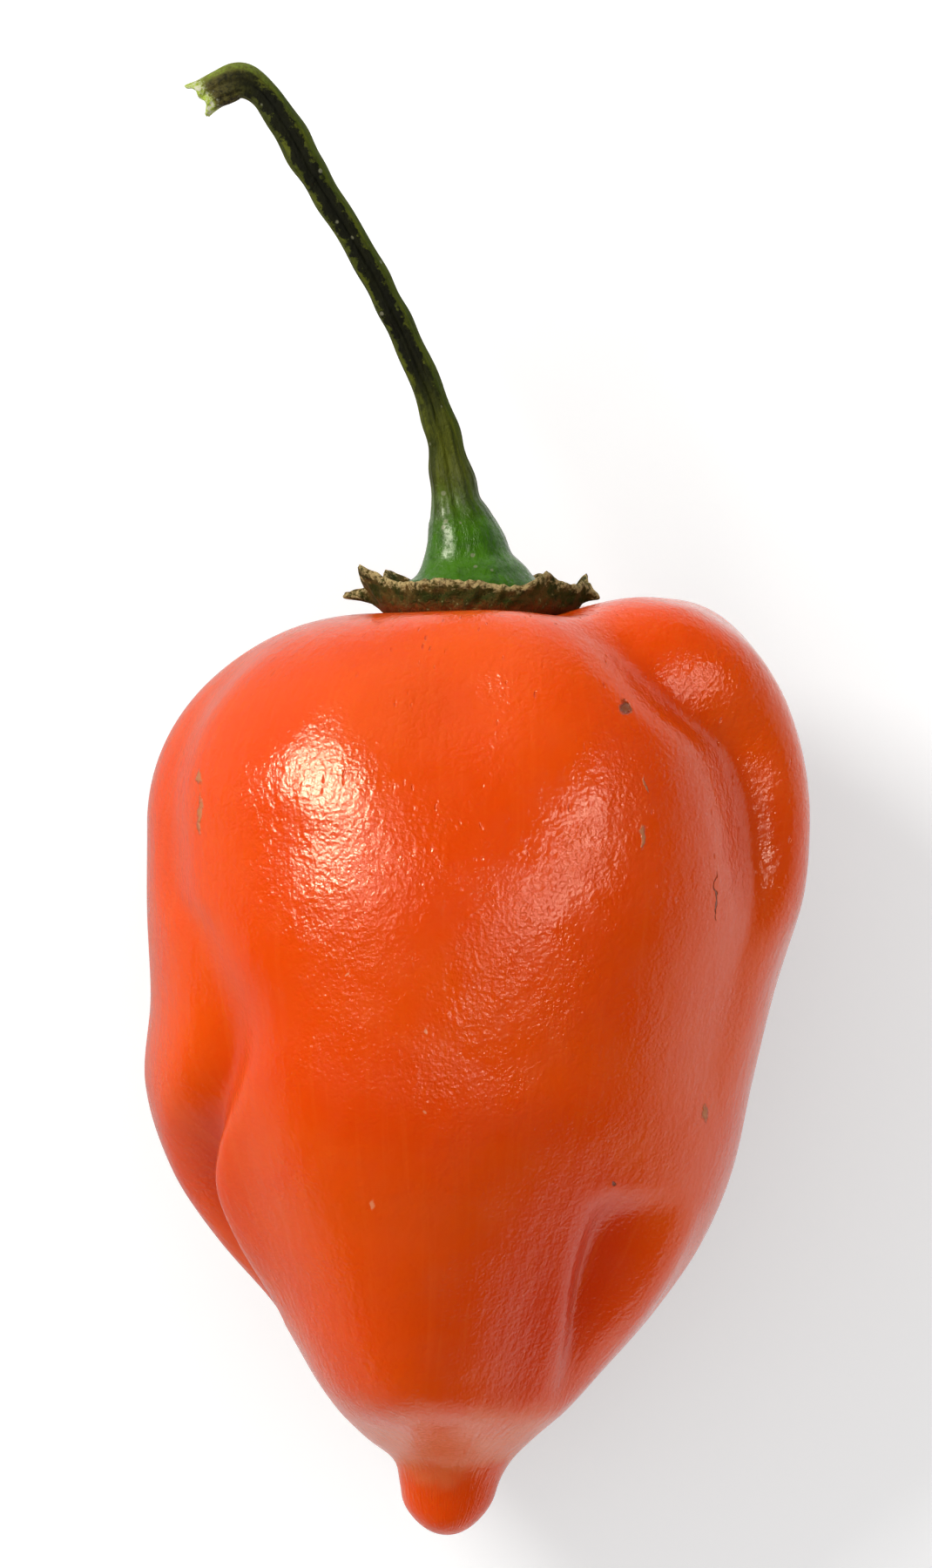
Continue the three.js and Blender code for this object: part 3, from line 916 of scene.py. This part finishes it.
def dry_calyx():
    """Withered leaf: olive brown and crinkled, red-brown low down, straw-coloured on its torn edges."""
    settings = bpy.context.scene.chilli_calyx
    material, nodes, shader = new_material("dry_calyx", IOR=1.4, Specular_IOR_Level=0.1)
    place = nodes.in_mm()
    body = mottled(nodes, place, 1.1, settings.dry_color, settings.olive_color)
    flecks = nodes.noise(place, 3.4, 4.0, 0.7)
    edge = nodes.plus(nodes.read("rim"), nodes.times(nodes.minus(flecks, 0.5), 1.1))
    body = nodes.blend(nodes.span(edge, 0.86, 1.08, 0, 0.9), body, settings.edge_color)
    body = nodes.blend(nodes.span(flecks, 0.6, 0.75, 0, 0.6), body, settings.edge_color)
    cracks = nodes.noise(place, 2.1, 3.0, 0.6)
    body = nodes.blend(nodes.span(cracks, 0.38, 0.26, 0, 0.85), body, CRACK_COLOR)
    body = nodes.blend(nodes.span(edge, 0.6, 0.1, 0, 0.9), body, settings.foot_color)
    nodes.feed(shader.inputs["Base Color"], body)
    nodes.feed(shader.inputs["Roughness"], nodes.span(flecks, 0.3, 0.7, 0.5, 0.85))
    normal = nodes.bump(nodes.noise(place, 1.5, 5.0, 0.65, 0.6), FOLD_DEPTH * MM)
    normal = nodes.bump(nodes.noise(place, 6.0, 3.0, 0.6), FLECK_DEPTH * MM, normal)
    nodes.feed(shader.inputs["Normal"], normal)
    return material


HOOK_DARK_COLOR = (0.02, 0.016, 0.006)
# Painted shade: the near-black colour drawn in the groove down the stalk's front.
FURROW_SHADE_COLOR = (0.0015, 0.0015, 0.0008)
FIBRE_DEPTH, WRINKLE_DEPTH, BARK_PORE_DEPTH = 0.16, 0.16, 0.02  # of the stem, in millimetres


def stem_bark():
    """Green stalk: bright and waxy at the cone, olive along the stalk with painted shade in near-black
    down the groove in its front and painted light in brighter green on its right side, brown at the
    hook and yellow-green where it is torn, with pale specks. Patterns follow the way along the stem
    in millimetres, and the cosine and sine of the angle round it."""
    settings = bpy.context.scene.chilli_stem
    material, nodes, shader = new_material(
        "stem_bark", IOR=1.45, Specular_IOR_Level=0.12, Coat_Roughness=0.28
    )
    place = nodes.in_mm()
    turned = nodes.read("turned", "Vector")
    right, front, way = (nodes.axis(turned, index) for index in range(3))
    fibre = nodes.noise(nodes.stretched(turned, (2.6, 2.6, 0.5)), 1.0, 4.0, 0.65)
    grain = nodes.noise(place, 3.5, 4.0, 0.7)

    cone = mottled(nodes, place, 0.8, settings.cone_color, settings.cone_dark_color, 0.45)
    stalk = nodes.blend(nodes.span(fibre, 0.35, 0.65), settings.stalk_color, settings.stalk_dark_color)
    color = nodes.blend(nodes.span(nodes.plus(way, nodes.times(fibre, 3.0)), 5.0, 9.5), cone, stalk)
    hook = nodes.blend(nodes.span(grain, 0.4, 0.62), settings.hook_color, HOOK_DARK_COLOR)
    hooked = nodes.span(nodes.plus(way, nodes.times(grain, 4.0)), 33.0, 37.5, 0, 0.9)
    color = nodes.blend(hooked, color, hook)

    # Painted shade: the groove down the stalk's front is coloured near-black, with ragged edges, between the
    # cone and the hook, and made rougher there.
    ragged = nodes.times(nodes.minus(nodes.noise(place, 1.6, 4.0, 0.7), 0.5), 1.2)
    middle = nodes.minus(front, nodes.times(right, 0.08))
    furrow_shade = nodes.span(nodes.plus(middle, ragged), 0.7, 0.84)
    furrow_shade = nodes.times(furrow_shade, nodes.times(nodes.span(way, 8.5, 15.0), nodes.span(way, 36.0, 32.0)))
    color = nodes.blend(nodes.times(furrow_shade, 0.93), color, FURROW_SHADE_COLOR)

    # Painted light: the stalk's right side, where the light falls, is drawn a brighter green that turns to
    # the torn colour towards the hook.
    sunny = nodes.span(nodes.plus(right, nodes.times(fibre, 0.5)), 0.75, 1.2)
    sunny = nodes.times(sunny, nodes.span(grain, 0.35, 0.6, 0.25, 1.0))
    lit_side_color = nodes.blend(nodes.span(way, 31.0, 36.0), settings.lit_edge_color, settings.torn_color)
    color = nodes.blend(nodes.times(sunny, nodes.span(way, 5.0, 9.0, 0, 0.6)), color, lit_side_color)

    specks = nodes.cells(place, 1.15)
    speck = nodes.times(nodes.span(specks.outputs["Distance"], 0.2, 0.11), nodes.some(specks, 0.3))
    color = nodes.blend(nodes.times(speck, 0.55), color, settings.speck_color)
    torn = nodes.span(nodes.plus(way, nodes.times(grain, 2.0)), 36.3, 37.0)
    rim = nodes.blend(nodes.span(grain, 0.45, 0.6), settings.torn_color, settings.pith_color)
    nodes.feed(shader.inputs["Base Color"], nodes.blend(torn, color, rim))

    rough = nodes.plus(nodes.span(way, 4.0, 9.0, 0.2, 0.6), nodes.times(grain, 0.12))
    nodes.feed(shader.inputs["Roughness"], nodes.plus(rough, nodes.times(furrow_shade, 0.2)))
    wax = nodes.times(nodes.span(way, 5.0, 9.0, 0.45, 0.0), nodes.span(grain, 0.38, 0.6, 0.15, 1.0))
    nodes.feed(shader.inputs["Coat Weight"], wax)

    normal = nodes.bump(fibre, FIBRE_DEPTH * MM)
    wrinkles = nodes.noise(nodes.stretched(place, (1.0, 0.45, 1.0)), 2.6, 4.0, 0.6, 0.5)
    normal = nodes.bump(wrinkles, WRINKLE_DEPTH * MM, normal)
    normal = nodes.bump(pored(nodes, place), BARK_PORE_DEPTH * MM, normal)
    nodes.feed(shader.inputs["Normal"], normal)
    return material


BLACK, WHITE = (0, 0, 0), (1, 1, 1)
FLOOR_GRAIN_COLOR = (0.76, 0.78, 0.8)


def stage_floor_material():
    """Pale paper with a faint grain, lifted to white so that shadows stay soft. The lift doesn't light
    the pepper, and its left side mirrors a dimmer floor."""
    settings = bpy.context.scene.chilli_stage
    material, nodes, shader = new_material("pale_paper", Roughness=0.9, Specular_IOR_Level=0.1)
    place = nodes.in_mm()
    grain = nodes.span(nodes.noise(place, 0.4, 3.0), 0.3, 0.7, 0, 0.02)
    tone = nodes.blend(grain, settings.floor_color, FLOOR_GRAIN_COLOR)
    path = nodes.add("ShaderNodeLightPath").outputs
    left = nodes.span(nodes.axis(place, 0), 10.0, -30.0, 0.0, 0.6)
    mirrored = nodes.times(path["Is Glossy Ray"], left)
    nodes.feed(shader.inputs["Base Color"], nodes.blend(mirrored, tone, BLACK))
    dimmed = nodes.math("MAXIMUM", path["Is Diffuse Ray"], mirrored)
    nodes.feed(shader.inputs["Emission Color"], nodes.blend(dimmed, WHITE, BLACK))
    shader.inputs["Emission Strength"].default_value = settings.floor_lift
    return material


# ---------------------------------------------------------------- settings


def color_setting(name, description, default):
    return FloatVectorProperty(
        name=name, description=description, subtype="COLOR", default=default, min=0, max=1
    )


def length_setting(name, description, default, **limits):
    return FloatProperty(name=name, description=description, subtype="DISTANCE", default=default, **limits)


class ChilliPodSettings(bpy.types.PropertyGroup):
    columns: IntProperty(
        name="Points round", description="Points round the pod", default=384, min=24, max=400
    )
    rows: IntProperty(
        name="Points up", description="Points from the pod's tip to its seat", default=250, min=32, max=256
    )
    skin_color: color_setting("Skin", "Colour of most of the skin", (0.86, 0.088, 0.002))
    blush_color: color_setting(
        "Blush", "Colour that the skin drifts to in soft patches", (0.83, 0.068, 0.001)
    )
    # Painted shade: the darker red drawn deep in the creases.
    crease_shade_color: color_setting("Creases", "Colour deep in the creases", (0.68, 0.03, 0.001))
    vein_color: color_setting("Veins", "Colour of the faint streaks along the pod", (0.9, 0.14, 0.015))
    # Painted reflection: the paler colour drawn just above the nub.
    neck_reflection_color: color_setting("Neck", "Paler colour just above the nub at the tip", (0.85, 0.28, 0.11))
    gloss: FloatProperty(
        name="Roughness", description="Roughness of the waxy skin", default=0.14, min=0.05, max=1
    )
    pore_depth: length_setting(
        "Pore depth", "Depth of the skin's fine pores", 0.05 * MM, min=0, max=1 * MM, precision=6
    )


class ChilliCalyxSettings(bpy.types.PropertyGroup):
    radius: length_setting("Radius", "Radius of the calyx's rim", 6.3 * MM, min=1 * MM)
    flare: length_setting("Flare", "Height of the rim above the floor", 1.65 * MM, min=0)
    wall: length_setting("Wall", "Thickness at the calyx's floor", 0.5 * MM, min=0.1 * MM)
    crinkle: length_setting("Crinkle", "Depth of the folds in the dry wall", 0.22 * MM, min=0)
    dry_color: color_setting("Dry", "Colour of the dry wall", (0.13, 0.075, 0.015))
    olive_color: color_setting("Olive", "Colour of its greener patches", (0.035, 0.045, 0.004))
    foot_color: color_setting("Foot", "Colour low down, where it meets the pod", (0.2, 0.03, 0.002))
    edge_color: color_setting("Edge", "Colour of torn edges and flecks", (0.6, 0.45, 0.2))


class ChilliStemSettings(bpy.types.PropertyGroup):
    ridge_depth: length_setting(
        "Ridges", "Height of the ridges along the stem", 0.035 * MM, min=0, precision=6
    )
    cone_color: color_setting("Cone", "Green of the cone", (0.05, 0.17, 0.0008))
    cone_dark_color: color_setting("Cone, dark", "Darker green of the cone", (0.03, 0.11, 0.0008))
    stalk_color: color_setting("Stalk", "Olive of the stalk", (0.09, 0.105, 0.004))
    stalk_dark_color: color_setting("Stalk, dark", "Darker fibres of the stalk", (0.035, 0.045, 0.0015))
    # Painted light: the brighter green drawn on the stalk's lit right side.
    lit_edge_color: color_setting(
        "Stalk, green edge", "Brighter green along the stalk's right side", (0.07, 0.11, 0.005)
    )
    hook_color: color_setting("Hook", "Brown of the hooked end", (0.1, 0.08, 0.02))
    torn_color: color_setting("Torn", "Colour of the torn rim", (0.4, 0.52, 0.06))
    pith_color: color_setting("Pith", "Colour of the dry pith in the torn end", (0.62, 0.62, 0.45))
    speck_color: color_setting("Specks", "Colour of the pale specks", (0.32, 0.32, 0.2))


class ChilliStageSettings(bpy.types.PropertyGroup):
    floor_size: length_setting("Floor", "Length of the floor's side", 8.0, min=0.5)
    floor_color: color_setting("Floor", "Colour of the floor", (0.83, 0.85, 0.87))
    floor_lift: FloatProperty(
        name="Lift", description="Brightness added to the floor so that it shows white", default=0.32, min=0
    )
    camera_distance: length_setting("Camera", "Distance from the camera to the pepper", 1.2, min=0.2)
    view_length: length_setting("View", "Length of what the camera sees", 90 * MM, min=20 * MM)
    key_radiance: FloatProperty(
        name="Window", description="Brightness of the window's light", default=34.0, min=0
    )


# ---------------------------------------------------------------- operators

CALYX_GRID, STEM_GRID = (480, 90), (160, 420)  # points round, and points along


class CHILLI_OT_pod(bpy.types.Operator):
    """Build the pod and its skin"""

    bl_idname = "chilli.pod"
    bl_label = "Pod"

    def execute(self, context):
        settings = context.scene.chilli_pod
        points, push, wrap = pod_surface(settings.columns, settings.rows)
        mesh = closed_mesh("pod_flesh", laid_down(points), [("wrap", wrap), ("crease", push)])
        add_piece("pod_flesh", mesh, pod_skin(), "pod")
        return {"FINISHED"}


class CHILLI_OT_calyx(bpy.types.Operator):
    """Build the dry calyx"""

    bl_idname = "chilli.calyx"
    bl_label = "Calyx"

    def execute(self, context):
        points, rim = calyx_surface(*CALYX_GRID)
        mesh = closed_mesh("calyx_leaf", laid_down(points), [("rim", rim)])
        add_piece("calyx_leaf", mesh, dry_calyx(), "calyx")
        return {"FINISHED"}


class CHILLI_OT_stem(bpy.types.Operator):
    """Build the cone, stalk and hook"""

    bl_idname = "chilli.stem"
    bl_label = "Stem"

    def execute(self, context):
        points, turned = stem_surface(*STEM_GRID)
        mesh = closed_mesh("stem_stalk", laid_down(points), [("turned", turned)])
        add_piece("stem_stalk", mesh, stem_bark(), "stem")
        return {"FINISHED"}


class CHILLI_OT_stage(bpy.types.Operator):
    """Build the floor, the lights and the camera"""

    bl_idname = "chilli.stage"
    bl_label = "Stage"

    def execute(self, context):
        add_floor()
        add_lights()
        add_camera()
        return {"FINISHED"}


def add_floor():
    """A square of pale paper under the pepper."""
    half = bpy.context.scene.chilli_stage.floor_size / 2
    corners = [(-half, -half, 0), (half, -half, 0), (half, half, 0), (-half, half, 0)]
    mesh = bpy.data.meshes.new("floor")
    mesh.from_pydata(corners, [], [(0, 1, 2, 3)])
    mesh.materials.append(stage_floor_material())
    floor = bpy.data.objects.new("floor", mesh)
    bpy.context.scene.collection.objects.link(floor)


PANEL_DISTANCE = 0.5

# The soft light that shades the pepper, and the window and the paler patches that its skin mirrors:
# the directions of the panel's two ends in the pod's frame, its width in degrees, its brightness
# beside the window's, its colour, and whether it is mirrored or shades.
PANELS = {
    "soft_light": ((-0.48, 0.62, 0.62), (-0.72, 0.34, 0.6), 18, 0.48, (1, 0.97, 0.93), False),
    "window": ((-0.77, 0.53, 0.38), (-0.55, 0.22, 0.81), 15, 1.2, (1, 0.98, 0.8), True),
    "window_edge": ((-0.5, 0.16, 0.86), (-0.3, 0.0, 0.95), 11, 0.2, (1, 0.92, 0.82), True),
    "side_strip": ((0.24, -0.26, 0.93), (0.6, 0.2, 0.78), 7, 0.38, (1, 0.92, 0.84), True),
    "far_patch": ((-0.3, 0.75, 0.59), (-0.1, 0.77, 0.63), 3, 0.05, (1, 0.92, 0.88), True),
}


SKY_COLOR = (0.58, 0.58 * 0.97, 0.58 * 0.95)
WARM_COLOR = (1, 0.94, 0.82)


def add_lights():
    """Panels of light aimed at the pepper, inside a white studio."""
    settings = bpy.context.scene.chilli_stage
    for name, (one_end, other_end, width, share, color, mirrored) in PANELS.items():
        start, end = (lying_turn() @ Vector(way).normalized() for way in (one_end, other_end))
        toward = (start + end).normalized()
        across = (end - start).normalized()
        data = bpy.data.lights.new(name, "AREA")
        data.shape = "RECTANGLE"
        data.size = PANEL_DISTANCE * start.angle(end)
        data.size_y = PANEL_DISTANCE * math.radians(width)
        data.energy = settings.key_radiance * share * data.size * data.size_y * math.pi
        data.color = color
        light = bpy.data.objects.new(name, data)
        turn = Matrix((across, toward.cross(across), toward)).transposed()
        light.matrix_world = Matrix.Translation(toward * PANEL_DISTANCE) @ turn.to_4x4()
        light.visible_camera = False
        light.visible_glossy = mirrored
        light.visible_diffuse = not mirrored
        bpy.context.scene.collection.objects.link(light)
    add_world()


def add_world():
    """White to the camera and an even pale sky for shading. What the pepper mirrors is dim, with a
    bright band low on the right and a glow behind the stem."""
    world = bpy.data.worlds.new("studio")
    world.use_nodes = True
    bpy.context.scene.world = world
    nodes = Nodes(world.node_tree)
    toward = nodes.add("ShaderNodeTexCoord").outputs["Generated"]
    across, along, up = (nodes.axis(toward, index) for index in range(3))
    side = nodes.span(across, -0.5, 0.3, 0.12, 0.8)
    side = nodes.times(side, nodes.span(along, -0.75, -0.35, 0.12, 1.0))
    corner = nodes.times(nodes.span(across, 0.1, 0.4), nodes.span(along, 0.05, 0.35))
    band = nodes.times(side, nodes.span(up, 0.32, 0.12))
    band = nodes.times(band, nodes.span(corner, 0.0, 1.0, 1.0, 0.1))
    glow = nodes.times(nodes.span(along, 0.0, 0.9), nodes.span(up, 1.0, 0.3))
    glow = nodes.times(glow, nodes.span(across, 0.35, -0.1, 0.1, 0.55))
    mirrored = nodes.blend(nodes.plus(nodes.plus(band, glow), 0.02), BLACK, WARM_COLOR)
    path = nodes.add("ShaderNodeLightPath").outputs
    sky = nodes.blend(path["Is Glossy Ray"], SKY_COLOR, mirrored)
    background = nodes.add("ShaderNodeBackground")
    nodes.feed(background.inputs["Color"], nodes.blend(path["Is Camera Ray"], sky, WHITE))
    nodes.feed(nodes.add("ShaderNodeOutputWorld").inputs["Surface"], background.outputs[0])


VIEW_CENTRE = (-0.5, 43.25, 0.0)  # the middle of the view, in the pod's frame
SENSOR_WIDTH = 36
CLIP = (0.05, 20)


def add_camera():
    """A long lens that looks straight down the pod's front, with the stem at the top."""
    settings = bpy.context.scene.chilli_stage
    data = bpy.data.cameras.new("camera")
    data.sensor_width = SENSOR_WIDTH
    data.lens = SENSOR_WIDTH * settings.camera_distance / settings.view_length
    data.clip_start, data.clip_end = CLIP
    camera = bpy.data.objects.new("camera", data)
    turn = lying_turn()
    centre = Vector(laid_down(np.array(VIEW_CENTRE)))
    place = centre + turn @ Vector((0, 0, settings.camera_distance))
    camera.matrix_world = Matrix.Translation(place) @ turn.to_4x4()
    bpy.context.scene.collection.objects.link(camera)
    bpy.context.scene.camera = camera
    bpy.context.scene.view_settings.view_transform = "Standard"


class CHILLI_PT_panel(bpy.types.Panel):
    """The pepper's settings and the buttons that build it"""

    bl_idname = "CHILLI_PT_panel"
    bl_label = "Chilli Pepper"
    bl_space_type = "VIEW_3D"
    bl_region_type = "UI"
    bl_category = "Chilli"

    def draw(self, context):
        for group, operator in PARTS:
            settings = getattr(context.scene, group)
            box = self.layout.box()
            for name in settings.__annotations__:
                box.prop(settings, name)
            box.operator(operator)


PARTS = [
    ("chilli_pod", "chilli.pod"),
    ("chilli_calyx", "chilli.calyx"),
    ("chilli_stem", "chilli.stem"),
    ("chilli_stage", "chilli.stage"),
]
GROUPS = {
    "chilli_pod": ChilliPodSettings,
    "chilli_calyx": ChilliCalyxSettings,
    "chilli_stem": ChilliStemSettings,
    "chilli_stage": ChilliStageSettings,
}
OPERATORS = [CHILLI_OT_pod, CHILLI_OT_calyx, CHILLI_OT_stem, CHILLI_OT_stage]
CLASSES = [*GROUPS.values(), *OPERATORS, CHILLI_PT_panel]


def register():
    for each in CLASSES:
        bpy.utils.register_class(each)
    for name, group in GROUPS.items():
        setattr(bpy.types.Scene, name, PointerProperty(type=group))


def unregister():
    for name in GROUPS:
        delattr(bpy.types.Scene, name)
    for each in reversed(CLASSES):
        bpy.utils.unregister_class(each)


def main():
    register()
    bpy.ops.chilli.pod()
    bpy.ops.chilli.calyx()
    bpy.ops.chilli.stem()
    bpy.ops.chilli.stage()


if __name__ == "__main__":
    main()
